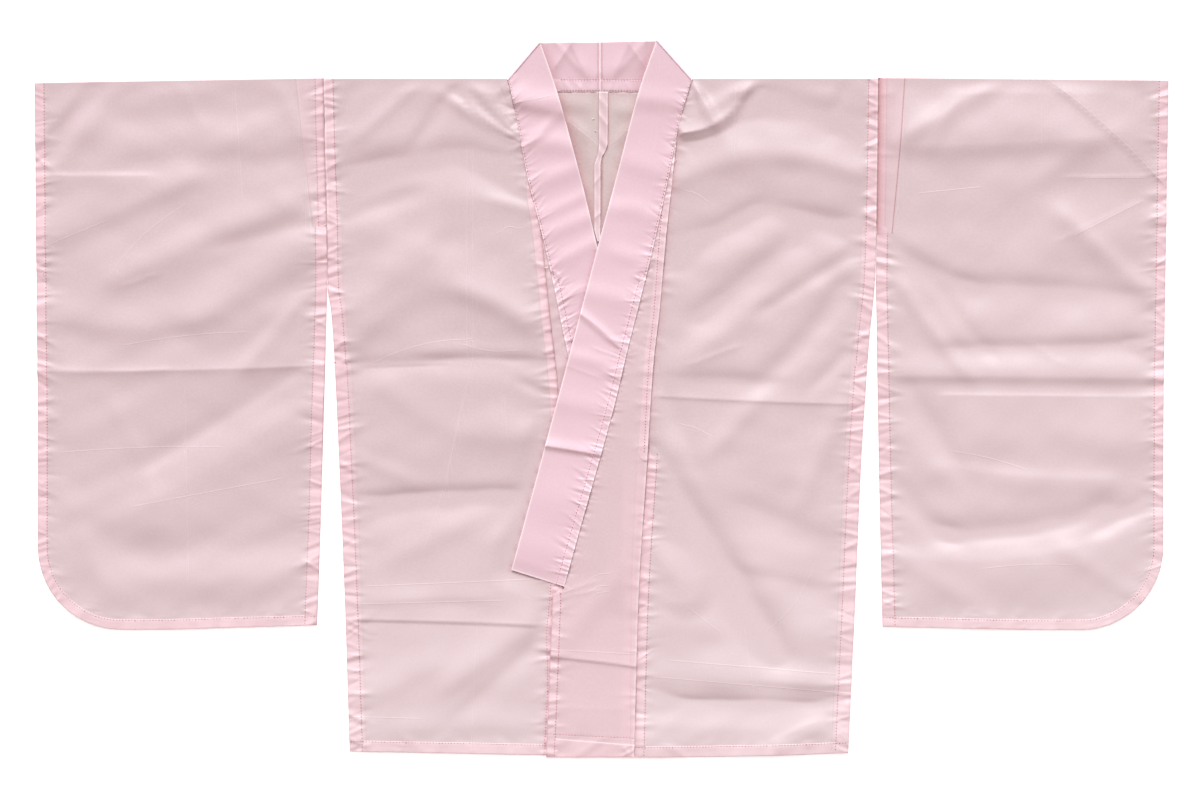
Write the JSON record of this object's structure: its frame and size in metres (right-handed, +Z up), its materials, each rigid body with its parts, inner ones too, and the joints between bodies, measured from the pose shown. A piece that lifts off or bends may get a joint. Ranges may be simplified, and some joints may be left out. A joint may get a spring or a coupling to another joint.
{
  "type": "juban",
  "caption": "Half-length under-kimono in thin satin, laid flat: square sleeves with a rounded outer corner, lapped fronts with overlap strips, and a long narrow collar folded double.",
  "frame": {"origin": "middle of the garment's outline, on the surface that it lies on", "axes": "+X towards the cuff of the wearer's left sleeve, +Y towards the collar, +Z up from the surface, away from the garment's back"},
  "size_m": [1.269, 0.803, 0.0066],
  "materials": {
    "satin": "satin",
    "satin_doubled": "satin",
    "thread": "satin"
  },
  "bodies": {
    "root": {"back_left": "satin", "back_right": "satin", "back_seam_allowance": "satin", "front_left": "satin", "front_right": "satin", "okumi_left": "satin", "okumi_right": "satin", "collar_left": "satin_doubled", "collar_right": "satin_doubled", "sleeve_left": "satin", "sleeve_right": "satin"}
  },
  "joints": []
}
